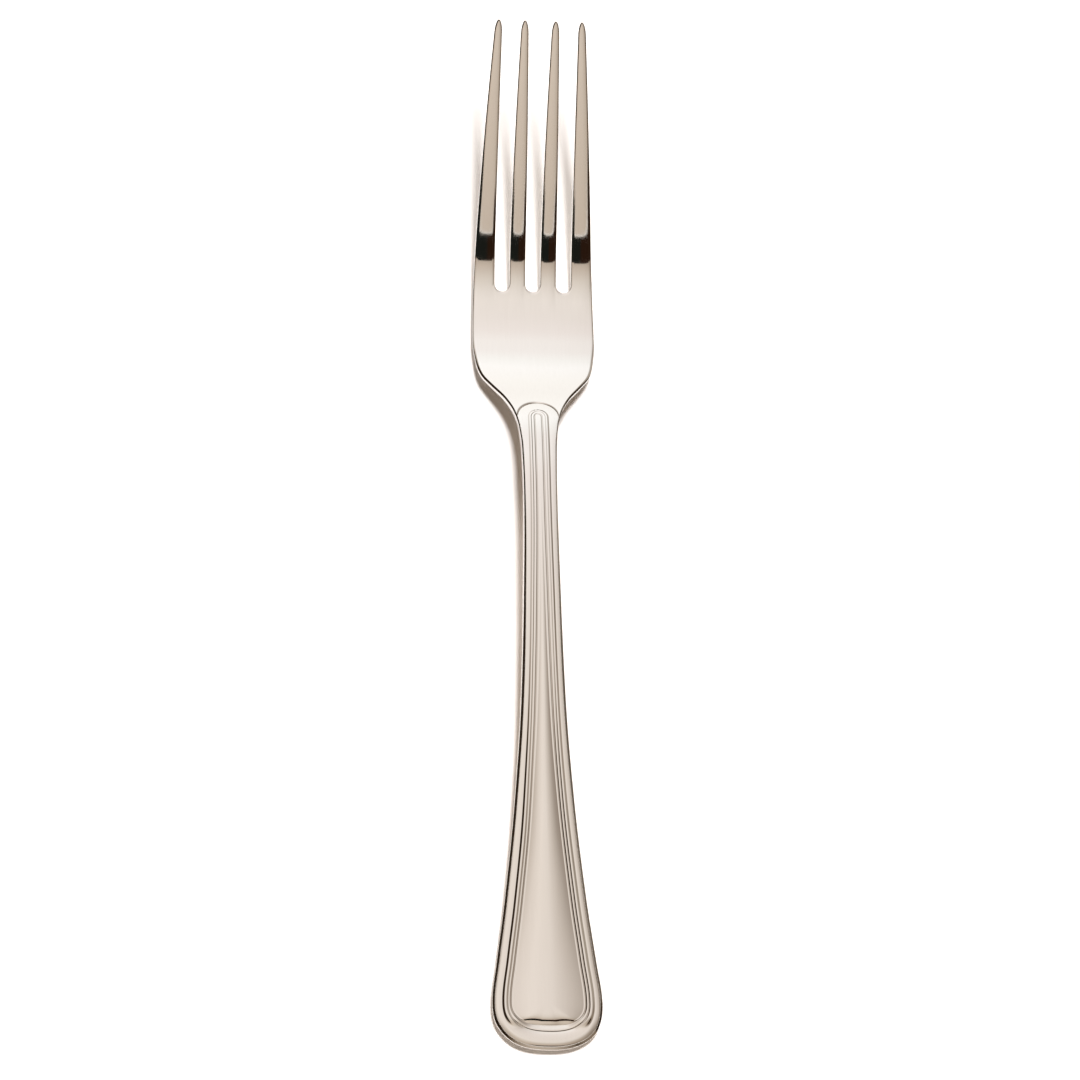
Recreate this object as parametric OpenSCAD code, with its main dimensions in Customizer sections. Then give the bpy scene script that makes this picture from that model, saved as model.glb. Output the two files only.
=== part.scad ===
// A four-tined dinner fork, forged from one piece of steel, lying with its tines up.
// The origin is the middle of its footprint on the table. +Y points to the tine tips and +Z up.
// The metal is one closed skin, made of rows of points across the fork from the handle end to the tips.

/* [Lengths] */
// Handle, from its round end to the narrowest place of the neck
handle_length = 112; // [95:1:125]
// Rounded part at the end of the handle
cap_length = 9.2; // [7.5:0.1:11]
// Shoulder, from the narrowest place of the neck to the widest of the head
shoulder_length = 33; // [28:1:40]
// Palm, from the widest place of the head to the bottom of the slots
palm_length = 10.8; // [9:0.1:16]
// Tines, from the bottom of the slots to the tips
tine_length = 49.2; // [40:0.1:55]

/* [Widths] */
// Handle at its widest, near the end
handle_width = 21; // [17:0.1:24]
// Neck at its narrowest
neck_width = 6.5; // [5.8:0.1:8]
// Head at its widest
head_width = 24.1; // [22:0.1:28]
// Over the outer tines at the tips
tips_width = 17.9; // [17:0.1:20]

/* [Side profile] */
// Underside of the neck above the table
neck_rise = 5; // [3:0.1:8]
// Underside of the tips above the table
tip_rise = 22.6; // [15:0.1:28]
// Place of the neck's highest point, from the handle end
crest_at = 108; // [95:1:112]
// Flat on the table under the handle end
end_rest = 12; // [5:0.1:15]
// Flat on the table under the palm
palm_rest = 5; // [4:0.1:6]

/* [Thickness] */
// Metal at the edge of the handle end
end_thickness = 2.1; // [1.5:0.1:3]
// Metal at the edge of the neck
neck_thickness = 3.3; // [2.4:0.1:4]
// Metal of the palm
head_thickness = 2.1; // [1.6:0.1:2.6]
// Metal of the tine tips
tip_thickness = 1.3; // [1:0.1:1.6]
// Fall of the softened upper edges of head and tines
soft_height = 0.2; // [0.1:0.05:0.4]
// Width and height of the rounded lower edges
under_round = 0.4; // [0.2:0.05:0.45]

/* [Tines] */
// Slot between two tines
slot_width = 3; // [2.7:0.1:3.2]
// Inner tine at its root
tine_width = 3.1; // [2.7:0.1:3.4]
// Tine just before its rounded tip
tip_width = 1.4; // [1.2:0.1:2]
// Length of the rounded tip
tip_length = 2.5; // [1.5:0.1:4]

/* [Handle relief] */
// Border and threads at the handle end, from the edge to the inner groove
frame_width = 3.05; // [2.6:0.05:3.6]
// The same at the neck
neck_frame = 2.5; // [1.8:0.05:2.6]
// Height of the border's rolled edge
roll_height = 0.3; // [0.15:0.05:0.45]
// Height of the threads over the border
thread_height = 0.2; // [0.1:0.05:0.35]
// Depth of the two grooves beside the inner thread
groove_depth = 0.14; // [0.05:0.01:0.2]
// Most that the middle panel swells over the threads
panel_swell = 0.4; // [0.1:0.05:0.6]
// Half width at which the panel has half of that swell
swell_width = 1.2; // [0.5:0.1:3]
// From the narrowest place of the neck to the foot of the arch in which the relief ends
tongue_length = 15.2; // [8:0.1:17]
// Rise of that arch along the neck
arch_rise = 3.25; // [2.5:0.05:4]

/* [Hidden] */

// Places along the fork, as distances from the handle end
widest_at = handle_length + shoulder_length;
slot_at = widest_at + palm_length;
fork_length = slot_at + tine_length;
root_at = slot_at + slot_width / 2;
arch_at = handle_length + tongue_length;
palm_rest_start = widest_at - palm_rest / 2;
palm_rest_end = widest_at + palm_rest / 2;

// Half widths, and distances of tine middles and sides from the middle of the fork
cap_half = handle_width / 2;
neck_half = neck_width / 2;
head_half = head_width / 2;
tine_pitch = slot_width + tine_width;
outer_side = slot_width * 3 / 2 + tine_width;

// Handle outline: share of the way from cap to neck, share of the extra width at the cap
handle_shares = [[0, 1], [0.08, 0.86], [0.19, 0.645], [0.385, 0.345], [0.575, 0.15], [0.77, 0.055], [1, 0]];
// Shoulder outline: share of its length, share of its growth in width
shoulder_shares = [[0, 0], [0.25, 0.018], [0.4, 0.07], [0.5, 0.165], [0.6, 0.36], [0.69, 0.63], [0.77, 0.85],
    [0.85, 0.94], [1, 1]];
// Underside from crest to palm: share of the way, share of the neck's rise
shoulder_rise_shares = [[0, 1], [0.35, 0.9], [0.69, 0.5], [0.85, 0.19], [1, 0]];
// Underside from palm to tips: share of the way, share of the tips' rise. The last point is past the tips.
tine_rise_shares = [[0, 0], [0.11, 0.021], [0.23, 0.1], [0.39, 0.265], [0.57, 0.465], [0.78, 0.725], [1, 1],
    [1.2, 1.25]];
// Lines of the border, from the outline to the first thread: share of the way, share of the roll's height
border_shares = [[0, 0], [0.1, 0.72], [0.36, 1], [0.72, 0.86]];
// Lines of the threads, from the outline inwards, as shares of the frame: thread, groove, thread, groove, panel
thread_shares = [0.69, 0.8, 0.9, 1, 1.2];
// How much wider the frame is along the fork's length at the handle end
end_frame_share = 1.4;
// How far the rounding of a tip goes to a point, where 1 is a sharp one
tip_round_share = 0.95;

// Powers of the curves: round end of the handle, outer edge of the tines, taper of inner tines, taper of
// outer tines, panel, lines of the arch, and spacing of the rows to the tips
cap_power = 2.45;
head_power = 1.5;
inner_power = 1.9;
outer_power = 3;
panel_power = 3;
arch_power = 0.46;
spacing_power = 1.6;

// Counts: lines of the relief and steps across the panel on each side, rows, and steps round a slot's end
BORDER = len(border_shares);
PANEL_EDGE = BORDER + len(thread_shares) - 1;
MIDDLE = PANEL_EDGE + 5;
LAST = 2 * MIDDLE;
COLUMNS = LAST + 1;
STRAIGHT = 32;
FOOT = MIDDLE + STRAIGHT;
APEX = FOOT + MIDDLE;
HEAD = 16;
PALM = FOOT + HEAD;
TINE = 12;
WEB = 6;
TINES = 4;
PER_TINE = WEB + 2;
RING = 6;

function mix(a, b, share) = a + (b - a) * share;
function clamp(share) = max(0, min(1, share));
function smooth(share) = clamp(share) ^ 2 * (3 - 2 * clamp(share));
function mirrored(column) = min(column, LAST - column);

// A smooth curve through the points of a table. It never swings past them, and is level at both ends.
function rise_after(table, i) = (table[i + 1][1] - table[i][1]) / (table[i + 1][0] - table[i][0]);
function slope_at(table, i) =
    let (inside = i > 0 && i < len(table) - 1,
         before = inside ? rise_after(table, i - 1) : 0,
         after = inside ? rise_after(table, i) : 0)
    before * after <= 0 ? 0 : 2 * before * after / (before + after);
function piece_of(table, place, i = 0) =
    i >= len(table) - 2 || place < table[i + 1][0] ? i : piece_of(table, place, i + 1);
function curve(table, place) =
    let (i = piece_of(table, place),
         wide = table[i + 1][0] - table[i][0],
         t = clamp((place - table[i][0]) / wide))
    (1 + 2 * t) * (1 - t) ^ 2 * table[i][1] + t * (1 - t) ^ 2 * wide * slope_at(table, i)
    + t ^ 2 * (3 - 2 * t) * table[i + 1][1] + t ^ 2 * (t - 1) * wide * slope_at(table, i + 1);

// Half width of the fork at a distance s from the handle end, past the cap
function handle_half(s) =
    mix(neck_half, cap_half, curve(handle_shares, (s - cap_length) / (handle_length - cap_length)));
function shoulder_half(s) =
    mix(neck_half, head_half, curve(shoulder_shares, (s - handle_length) / shoulder_length));
function tines_half(s) =
    mix(head_half, tips_width / 2, clamp((s - widest_at) / (fork_length - widest_at)) ^ head_power);
function outline(s) = s < handle_length ? handle_half(s) : s < widest_at ? shoulder_half(s) : tines_half(s);

// Underside, thickness at the edge, and height of the upper edge
function underside(s) =
    s < crest_at ? neck_rise * smooth((s - end_rest) / (crest_at - end_rest))
    : s < palm_rest_start ? neck_rise * curve(shoulder_rise_shares, (s - crest_at) / (palm_rest_start - crest_at))
    : s < palm_rest_end ? 0
    : tip_rise * curve(tine_rise_shares, (s - palm_rest_end) / (fork_length - palm_rest_end));
function thickness(s) =
    s < crest_at ? mix(end_thickness, neck_thickness, s / crest_at)
    : s < widest_at ? mix(neck_thickness, head_thickness, smooth((s - crest_at) / (widest_at - crest_at)))
    : mix(head_thickness, tip_thickness, (s - widest_at) / (fork_length - widest_at));
function upper_edge(s) = underside(s) + thickness(s);

// Rows across the handle. The first ones turn about the cap's centre and the last ones about the arch's,
// each by an angle, and the rows between are straight.
function at_cap(row) = row < MIDDLE;
function at_arch(row) = row > FOOT;
function row_place(row) =
    at_cap(row) ? cap_length : at_arch(row) ? arch_at : mix(cap_length, arch_at, (row - MIDDLE) / STRAIGHT);
function row_angle(row) = 90 * (at_cap(row) ? MIDDLE - row : at_arch(row) ? row - FOOT : 0) / MIDDLE;
function cap_across(row) = cos(row_angle(row)) ^ (2 / cap_power);
function cap_along(row) = sin(row_angle(row)) ^ (2 / cap_power);

// Line k of the relief, counted inwards: its distance from the middle of the handle and its height
function frame_half(s) = s < handle_length ? outline(s) : neck_half;
function frame_at(s) =
    mix(neck_frame, frame_width, clamp((frame_half(s) - neck_half) / (cap_half - neck_half)));
function thread_half(s, k) = frame_half(s) - thread_shares[k] * frame_at(s);
function line_half(s, k) =
    k < BORDER ? mix(outline(s), thread_half(s, 0), border_shares[k][0]) : thread_half(s, k - BORDER);
function is_groove(k) = k > BORDER && (k - BORDER) % 2 == 1;
function line_height(k) =
    k < BORDER ? roll_height * border_shares[k][1]
    : roll_height + thread_height - (is_groove(k) ? groove_depth : 0);

// Point of line k in a row, right of the middle
function cap_reach(k) = cap_length - end_frame_share * (cap_half - line_half(cap_length, k));
function arch_reach(k) = arch_rise * (line_half(arch_at, k) / outline(arch_at)) ^ arch_power;
function line_point(row, k) =
    let (s = row_place(row),
         half = line_half(s, k),
         reach = k == 0 ? cap_length : cap_reach(k))
    at_cap(row) ? [half * cap_across(row), s - reach * cap_along(row)]
    : at_arch(row) ? [half * cos(row_angle(row)), s + arch_reach(k) * sin(row_angle(row))]
    : [half, s];

// Upper skin of the handle. Inside its edge the panel's points lie on the way to the middle of the row.
function swell(half) = panel_swell * half / (half + swell_width);
function relief_point(row, column) =
    let (k = min(mirrored(column), PANEL_EDGE),
         v = clamp((MIDDLE - mirrored(column)) / (MIDDLE - PANEL_EDGE)),
         line = line_point(row, k),
         s = mix(row_place(row), line[1], k < PANEL_EDGE ? 1 : v),
         swollen = k < PANEL_EDGE ? 0 : swell(line_half(row_place(row), PANEL_EDGE)) * (1 - v ^ panel_power))
    [sign(column - MIDDLE) * line[0] * (k < PANEL_EDGE ? 1 : v), s, upper_edge(s) + line_height(k) + swollen];

// Sides of a tine, counted from the left, and end of a slot as a half circle
function tine_sides(tine, s) =
    let (share = clamp((s - root_at) / (fork_length - root_at)),
         half = mix(tine_width, tip_width, share ^ inner_power) / 2,
         outermost = tine == 0 || tine == TINES - 1,
         near = outermost ? mix(outer_side, tips_width / 2 - tip_width, share ^ outer_power) : tine_pitch / 2 - half,
         far = outermost ? outline(s) : tine_pitch / 2 + half,
         round = (1 - (tip_round_share * clamp((s - fork_length + tip_length) / tip_length)) ^ 2) ^ 0.5,
         middle = (near + far) / 2,
         width = (far - near) * round)
    tine < TINES / 2 ? [-middle - width / 2, -middle + width / 2] : [middle - width / 2, middle + width / 2];
function slot_end(slot, step) =
    let (angle = 180 + 180 * step / WEB, middle = (slot + 1 - TINES / 2) * tine_pitch)
    [middle + slot_width / 2 * cos(angle), root_at + slot_width / 2 * sin(angle)];

// Last row of the palm, which runs along the roots of the tines and the ends of the slots
function root_point(column) =
    let (tine = floor(column / PER_TINE), step = column % PER_TINE, sides = tine_sides(tine, root_at))
    step < 3 ? [mix(sides[0], sides[1], step / 2), root_at] : slot_end(tine, step - 2);

// Upper and lower skin of the head. The rows change from the arch, or a straight line, to the roots.
function head_place(row) = mix(arch_at, root_at, row / HEAD);
function is_side(column) = column == 0 || column == LAST;
function is_rim(row, column) = is_side(column) || (row == HEAD && column % PER_TINE != 1);
function head_across(row, column, start) =
    start * (1 - smooth(row / HEAD)) + root_point(column)[0] / outline(root_at) * smooth(row / HEAD);
function head_along(row, column, start) =
    head_place(row) + mix(start, root_point(column)[1] - root_at, smooth(row / HEAD));
function palm_point(row, column) =
    let (angle = 90 * mirrored(column) / MIDDLE,
         across = head_across(row, column, sign(column - MIDDLE) * cos(angle)),
         s = head_along(row, column, arch_rise * sin(angle)),
         fall = is_rim(row, column) ? soft_height * smooth(2 * row / HEAD) : 0)
    [across * outline(head_place(row)), s, upper_edge(s) - fall];
function under_share(column) = is_side(column) ? sign(column - MIDDLE) : (column - MIDDLE) / (MIDDLE - 1);
function under_head_point(row, column) =
    let (half = outline(head_place(row)) - (is_side(column) ? 0 : under_round * (1 - smooth(row / HEAD))),
         s = head_along(row, column, 0))
    [head_across(row, column, under_share(column)) * half, s,
        underside(s) + (is_rim(row, column) ? under_round : 0)];
function under_handle_point(row, column) =
    let (inset = is_side(column) ? 0 : under_round,
         share = abs(under_share(column)),
         half = (outline(row_place(row)) - inset) * (at_cap(row) ? cap_across(row) : 1),
         s = row_place(row) - (at_cap(row) ? (cap_length - inset) * cap_along(row) * share : 0))
    [sign(column - MIDDLE) * half * share, s, underside(s) + (is_side(column) ? under_round : 0)];

// Rings of a tine: three points above from left to right, and three below from right to left
function tine_place(row) = mix(root_at, fork_length, 1 - (1 - row / TINE) ^ spacing_power);
function tine_point(tine, row, step) =
    let (s = tine_place(row),
         sides = tine_sides(tine, s),
         above = step < 3,
         across = (above ? step : RING - 1 - step) / 2,
         edge = across != 0.5)
    [mix(sides[0], sides[1], across), s,
        above ? upper_edge(s) - (edge ? soft_height : 0) : underside(s) + (edge ? under_round : 0)];

// All points, in the order of the four parts of the skin
skin_points = [
    for (row = [0:APEX], column = [0:LAST]) relief_point(row, column),
    for (row = [1:HEAD], column = [0:LAST]) palm_point(row, column),
    for (row = [0:FOOT], column = [0:LAST]) under_handle_point(row, column),
    for (row = [1:HEAD], column = [0:LAST]) under_head_point(row, column),
    for (tine = [0:TINES - 1], row = [1:TINE], step = [0:RING - 1]) tine_point(tine, row, step)
];
PALM_START = (APEX + 1) * COLUMNS;
UNDER_START = PALM_START + HEAD * COLUMNS;
TINE_START = UNDER_START + (PALM + 1) * COLUMNS;

// Number of a point in that list. Points that meet in a centre or on the middle line count as one.
function relief_at(row, column) =
    column == MIDDLE ? max(MIDDLE, min(row, FOOT)) * COLUMNS + MIDDLE
    : row * COLUMNS + (row == 0 || row == APEX ? mirrored(column) : column);
function palm_at(row, column) =
    row > 0 ? PALM_START + (row - 1) * COLUMNS + column
    : relief_at(FOOT + mirrored(column), column < MIDDLE ? 0 : LAST);
function side_at(row, column) = row < FOOT ? relief_at(row, column) : palm_at(row - FOOT, column);
function under_at(row, column) =
    UNDER_START + (column == MIDDLE ? max(MIDDLE, row) * COLUMNS + MIDDLE
    : row * COLUMNS + (row == 0 ? mirrored(column) : column));
function tine_at(tine, row, step) =
    let (column = tine * PER_TINE + (step < 3 ? step : RING - 1 - step))
    row > 0 ? TINE_START + (tine * TINE + row - 1) * RING + step
    : step < 3 ? palm_at(HEAD, column)
    : under_at(PALM, column);

// Two triangles for four corners, in clockwise order seen from outside, without those that have shrunk to a line
function is_face(f) = f[0] != f[1] && f[1] != f[2] && f[2] != f[0];
function quad(a, b, c, d) = [for (f = [[a, b, c], [a, c, d]]) if (is_face(f)) f];
skin_quads = [
    for (row = [0:APEX - 1], c = [0:LAST - 1])
        quad(relief_at(row, c), relief_at(row + 1, c), relief_at(row + 1, c + 1), relief_at(row, c + 1)),
    for (row = [0:HEAD - 1], c = [0:LAST - 1])
        quad(palm_at(row, c), palm_at(row + 1, c), palm_at(row + 1, c + 1), palm_at(row, c + 1)),
    for (row = [0:PALM - 1], c = [0:LAST - 1])
        quad(under_at(row, c), under_at(row, c + 1), under_at(row + 1, c + 1), under_at(row + 1, c)),
    for (row = [0:PALM - 1])
        quad(under_at(row, 0), under_at(row + 1, 0), side_at(row + 1, 0), side_at(row, 0)),
    for (row = [0:PALM - 1])
        quad(side_at(row, LAST), side_at(row + 1, LAST), under_at(row + 1, LAST), under_at(row, LAST)),
    for (c = [0:LAST - 1])
        if (c % PER_TINE > 1)
            quad(under_at(PALM, c), under_at(PALM, c + 1), palm_at(HEAD, c + 1), palm_at(HEAD, c)),
    for (tine = [0:TINES - 1], row = [0:TINE - 1], step = [0:RING - 1])
        let (next = (step + 1) % RING)
        quad(tine_at(tine, row, step), tine_at(tine, row + 1, step), tine_at(tine, row + 1, next),
            tine_at(tine, row, next)),
    for (tine = [0:TINES - 1], half = [0, 1])
        let (corners = [for (step = [RING - 1:-1:0]) tine_at(tine, TINE, step)])
        quad(corners[half * 3], corners[half * 3 + 1], corners[half * 3 + 2], corners[(half * 3 + 3) % RING])
];

module fork() {
    color("#ddd4cb")
        translate([0, -fork_length / 2, 0])
            polyhedron(points = skin_points, faces = [for (faces = skin_quads) each faces], convexity = 10);
}

fork();
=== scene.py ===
# %% [markdown]
# # A dinner fork
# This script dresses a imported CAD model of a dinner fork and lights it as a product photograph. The
# fork's sizes are written in millimetres and become metres only when its mesh is made.

# %% The frame
import bpy
import numpy as np
from mathutils import Matrix, Vector


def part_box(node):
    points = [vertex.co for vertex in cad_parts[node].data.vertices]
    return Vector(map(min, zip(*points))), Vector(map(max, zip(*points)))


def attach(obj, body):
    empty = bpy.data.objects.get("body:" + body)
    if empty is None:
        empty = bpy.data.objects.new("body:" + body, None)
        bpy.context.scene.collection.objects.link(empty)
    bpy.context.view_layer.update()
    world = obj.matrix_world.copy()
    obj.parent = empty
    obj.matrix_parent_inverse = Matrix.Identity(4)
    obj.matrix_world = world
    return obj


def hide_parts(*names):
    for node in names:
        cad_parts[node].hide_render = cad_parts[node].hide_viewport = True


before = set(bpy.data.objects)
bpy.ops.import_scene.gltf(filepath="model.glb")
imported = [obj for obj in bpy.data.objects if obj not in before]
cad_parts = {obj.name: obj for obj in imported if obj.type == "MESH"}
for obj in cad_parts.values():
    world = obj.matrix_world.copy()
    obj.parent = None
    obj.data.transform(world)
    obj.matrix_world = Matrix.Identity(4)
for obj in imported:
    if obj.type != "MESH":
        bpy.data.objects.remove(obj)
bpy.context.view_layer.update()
MM = 0.001

low, high = (np.array(corner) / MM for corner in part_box("fork"))
LENGTH = high[1] - low[1]
HEAD_HALF = high[0]
TIPS_TOP = high[2]
print(f"fork: {LENGTH:.1f} mm long, {2 * HEAD_HALF:.2f} mm wide, {TIPS_TOP:.1f} mm high")

# %% [markdown]
# ## The fork's own sizes
# A fork is stamped flat, rolled thinner towards the tines, and then forged into its curve. So three things
# describe it: the outline of the blank seen from above, the curve of its underside seen from the side, and
# the thickness along it. The places are distances from the handle end, measured along the table.

# %% Places, widths and heights
CAP_LENGTH = 9.2
NARROWEST_AT = 112.0
WIDEST_AT = 145.0
SLOT_AT = 155.8
SLOT_WIDTH = 3.0
TINE_WIDTH = 3.1
TIP_WIDTH = 1.4
TIP_LENGTH = 2.2
ARCH_AT = 127.2
ARCH_RISE = 3.25
CREST_AT = 108.0
END_REST = 12.0
CAP_HALF = 10.5
NECK_HALF = 3.25
TIPS_HALF = 8.95
NECK_RISE = 5.0
TIP_THICKNESS = 1.3
TIP_RISE = TIPS_TOP - TIP_THICKNESS
ROOT_AT = SLOT_AT + SLOT_WIDTH / 2
TINE_PITCH = SLOT_WIDTH + TINE_WIDTH
OUTER_SIDE = 1.5 * SLOT_WIDTH + TINE_WIDTH

# Outline of the handle and of the shoulder: share of the way, share of the change in width
HANDLE_SHARES = ((0, 1), (0.08, 0.86), (0.19, 0.645), (0.385, 0.345), (0.575, 0.15), (0.77, 0.055), (1, 0))
SHOULDER_SHARES = ((0, 0), (0.25, 0.018), (0.4, 0.07), (0.5, 0.165), (0.6, 0.36), (0.69, 0.63),
                   (0.77, 0.85), (0.85, 0.94), (1, 1))
# Powers of the way to the tips by which the head, the outer slots and the inner tines narrow or widen
HEAD_TAPER = 1.5
OUTER_TAPER = 3
INNER_TAPER = 1.9
# Side profile of the underside: distance, height, slope in degrees. From the third place to the fourth the
# palm is an arc.
SIDE = ((END_REST, 0, 0), (CREST_AT, NECK_RISE, 0), (133.2, 2.31, -18.2), (166.3, 3.97, 24.0),
        (LENGTH, TIP_RISE, 27.4))
PALM_RADIUS = 46.0
LOWEST_AT = 147.6
# Thickness at the edge: distance from the handle end, millimetres
THICKNESS = ((0, 2.1), (60, 2.8), (108, 3.3), (125, 3.1), (142, 2.1), (165, 1.85), (LENGTH, TIP_THICKNESS))
# Samples along the fork, 0.05 mm apart, and how many of them the outline and the side profile are averaged
# over, and the thickness
SAMPLE_COUNT = 4101
WINDOW = 41
THICKNESS_WINDOW = 161
# Where the side profile isn't averaged, at the handle end and at the tips, and the way this fades over
PLAIN_END = 20
PLAIN_TIPS = 15
PLAIN_FADE = 20


# %% [markdown]
# ## Smooth curves through a few chosen points
# The tables above are drawn as a few given points, so a curve has to run through them without overshooting.
# A Hermite curve does this when each inner slope is the harmonic mean of the slopes on both sides. Polished
# metal shows every kink in that curve as a break in the reflection, so the side profile is sampled finely
# and averaged over a few millimetres, which leaves its shape alone and evens out its bending.

# %% Curves
def mix(start, end, share):
    """Start plus share times the way to end."""
    return start + (end - start) * share


def smooth(share):
    """3 t^2 - 2 t^3 on the share t kept between 0 and 1: level at both ends."""
    share = np.clip(share, 0, 1)
    return share * share * (3 - 2 * share)


def straight(table, place):
    """Straight lines through the table's points."""
    return np.interp(place, *np.array(table).T)


def curve(table, place):
    """Hermite curve through the table's points, level at both ends, with harmonic means as inner slopes."""
    x, y = np.array(table, dtype=float).T
    step = np.diff(x)
    rise = np.diff(y) / step
    slope = np.zeros_like(x)
    same = rise[:-1] * rise[1:] > 0
    slope[1:-1][same] = 2 * rise[:-1][same] * rise[1:][same] / (rise[:-1] + rise[1:])[same]
    i = np.clip(np.searchsorted(x, place, side="right") - 1, 0, len(step) - 1)
    t = np.clip((place - x[i]) / step[i], 0, 1)
    start = (1 + 2 * t) * (1 - t) ** 2 * y[i] + t * (1 - t) ** 2 * step[i] * slope[i]
    end = t * t * (3 - 2 * t) * y[i + 1] + t * t * (t - 1) * step[i] * slope[i + 1]
    return start + end


def averaged(values, count):
    """Mean over a window of raised cosine weights, with the ends held."""
    weights = np.hanning(count + 2)[1:-1]
    padded = np.concatenate([np.full(count, values[0]), values, np.full(count, values[-1])])
    return np.convolve(padded, weights / weights.sum(), mode="same")[count:-count]


def through(places, place):
    """Hermite curve through (distance, height, slope in degrees)."""
    x, y, slope = np.array(places, dtype=float).T
    slope = np.tan(np.radians(slope))
    i = np.clip(np.searchsorted(x, place, side="right") - 1, 0, len(x) - 2)
    step = x[i + 1] - x[i]
    t = np.clip((place - x[i]) / step, 0, 1)
    start = (1 + 2 * t) * (1 - t) ** 2 * y[i] + t * (1 - t) ** 2 * step * slope[i]
    return start + t * t * (3 - 2 * t) * y[i + 1] + t * t * (t - 1) * step * slope[i + 1]


SAMPLES = np.linspace(0, LENGTH, SAMPLE_COUNT)
in_palm = (SAMPLES > SIDE[2][0]) & (SAMPLES < SIDE[3][0])
palm_arc = PALM_RADIUS - np.sqrt(PALM_RADIUS ** 2 - np.where(in_palm, SAMPLES - LOWEST_AT, 0) ** 2)
underside_samples = np.where(in_palm, palm_arc, through(SIDE, SAMPLES))
inner = smooth((SAMPLES - PLAIN_END) / PLAIN_FADE) * smooth((LENGTH - PLAIN_TIPS - SAMPLES) / PLAIN_FADE)
underside_samples = mix(underside_samples, averaged(underside_samples, WINDOW), inner)
underside_samples -= underside_samples.min()
thickness_samples = averaged(straight(THICKNESS, SAMPLES), THICKNESS_WINDOW)


def underside(s):
    """Height of the underside above the table at the distance s from the handle end."""
    return np.interp(s, SAMPLES, underside_samples)


def top(s):
    """Height of the upper edge: the underside plus the thickness."""
    return underside(s) + np.interp(s, SAMPLES, thickness_samples)


def outline(s):
    """Half width past the round end: falls to the neck, swells to the head, then narrows to the tips."""
    to_neck = (s - CAP_LENGTH) / (NARROWEST_AT - CAP_LENGTH)
    to_head = (s - NARROWEST_AT) / (WIDEST_AT - NARROWEST_AT)
    to_tips = (s - WIDEST_AT) / (LENGTH - WIDEST_AT)
    handle = mix(NECK_HALF, CAP_HALF, curve(HANDLE_SHARES, to_neck))
    shoulder = mix(NECK_HALF, HEAD_HALF, curve(SHOULDER_SHARES, to_head))
    tines = mix(HEAD_HALF, TIPS_HALF, np.clip(to_tips, 0, 1) ** HEAD_TAPER)
    return np.select([s < NARROWEST_AT, s < WIDEST_AT], [handle, shoulder], tines)


outline_samples = averaged(outline(SAMPLES), WINDOW)


def half_width(s):
    """The outline, evened out over two millimetres."""
    return np.interp(s, SAMPLES, outline_samples)


print(f"top of neck {top(CREST_AT):.2f} mm, top of palm {top(WIDEST_AT):.2f} mm")

# %% [markdown]
# ## One contour round half of the fork
# The fork mirrors itself, so only its right half is worked out. Its contour is one path: from the middle of
# the handle end round the cap, up the handle and the shoulder, out along the outer tine and round its tip,
# back to the slot, round the slot's end, and so on to the middle of the centre slot. Every edge of the fork
# lies on that path, so one edge profile carried along it softens the whole piece, as the polishing wheel
# does.

# %% The contour
CAP_STEPS = 72
HANDLE_STEPS = 130
HEAD_STEPS = 48
TINE_STEPS = 60
TIP_STEPS = 14
ACROSS = 8
SLOT_STEPS = 16
ARCH_STEPS = 2 * ACROSS + SLOT_STEPS * 3 // 2
# The cap is half an oval of the power 2.45, a little fuller than an ellipse, whose power is 2
CAP_POWER = 2 / 2.45

cap_angle = np.linspace(90, 0, CAP_STEPS + 1)
cap_out = np.cos(np.radians(cap_angle)).clip(0) ** CAP_POWER
cap_back = np.sin(np.radians(cap_angle)).clip(0) ** CAP_POWER
handle_s = np.linspace(CAP_LENGTH, ARCH_AT, HANDLE_STEPS + 1)
head_s = np.linspace(ARCH_AT, ROOT_AT, HEAD_STEPS + 1)
tip_turn = np.linspace(0, np.pi / 2, TIP_STEPS + 1)[1:]
tine_s = np.concatenate([np.linspace(ROOT_AT, LENGTH - TIP_LENGTH, TINE_STEPS - TIP_STEPS + 1),
                         LENGTH - TIP_LENGTH + TIP_LENGTH * np.sin(tip_turn)])
tip_round = np.sqrt(1 - np.clip((tine_s - LENGTH + TIP_LENGTH) / TIP_LENGTH, 0, 1) ** 2)


def tine_sides(outermost):
    """Left and right side of a tine: it tapers by a power of the way to its tip, which is half an oval."""
    share = (tine_s - ROOT_AT) / (LENGTH - ROOT_AT)
    if outermost:
        near = mix(OUTER_SIDE, TIPS_HALF - TIP_WIDTH, share ** OUTER_TAPER)
        far = half_width(tine_s)
    else:
        half = mix(TINE_WIDTH, TIP_WIDTH, share ** INNER_TAPER) / 2
        near, far = TINE_PITCH / 2 - half, TINE_PITCH / 2 + half
    middle, half = (near + far) / 2, (far - near) / 2 * tip_round
    return np.stack([middle - half, tine_s], 1), np.stack([middle + half, tine_s], 1)


def slot_end(middle, first, last, steps):
    """Arc of half the slot's width about the slot's middle, between two angles."""
    angle = np.radians(np.linspace(first, last, steps + 1))
    radius = SLOT_WIDTH / 2
    return np.stack([middle + radius * np.cos(angle), ROOT_AT + radius * np.sin(angle)], 1)


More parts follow.
